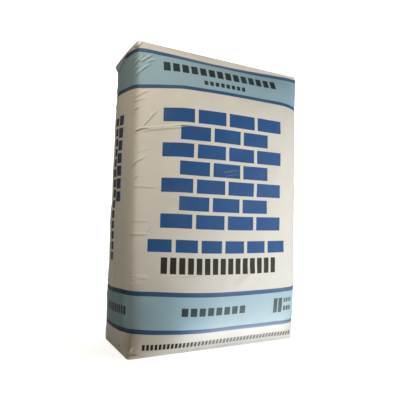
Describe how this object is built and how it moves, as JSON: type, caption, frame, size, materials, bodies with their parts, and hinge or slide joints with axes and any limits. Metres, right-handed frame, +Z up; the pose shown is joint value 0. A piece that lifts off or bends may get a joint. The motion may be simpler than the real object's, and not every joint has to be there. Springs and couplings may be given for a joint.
{
  "type": "cement bag",
  "caption": "Filled block-bottom paper valve sack of cement, standing on its flat end, with bulging panels and a pasted sheet over each end.",
  "frame": {"origin": "middle of the footprint, on the surface that the bag stands on", "axes": "+Z up along the bag's height, -Y towards the front panel, +X towards the end of the front panel that has the valve"},
  "size_m": [0.366, 0.2, 0.56],
  "materials": {
    "sack_paper": "matt white kraft paper with light blue bands, softly creased",
    "cement_powder": "fine dry grey powder",
    "cover_paper": "matt white kraft paper, scuffed and dusty",
    "sleeve_paper": "plain brown kraft paper"
  },
  "bodies": {
    "root": {"paper_sack": "sack_paper", "cement_fill": "cement_powder", "top_cover_sheet": "cover_paper", "bottom_cover_sheet": "cover_paper", "valve_sleeve": "sleeve_paper"}
  },
  "joints": []
}
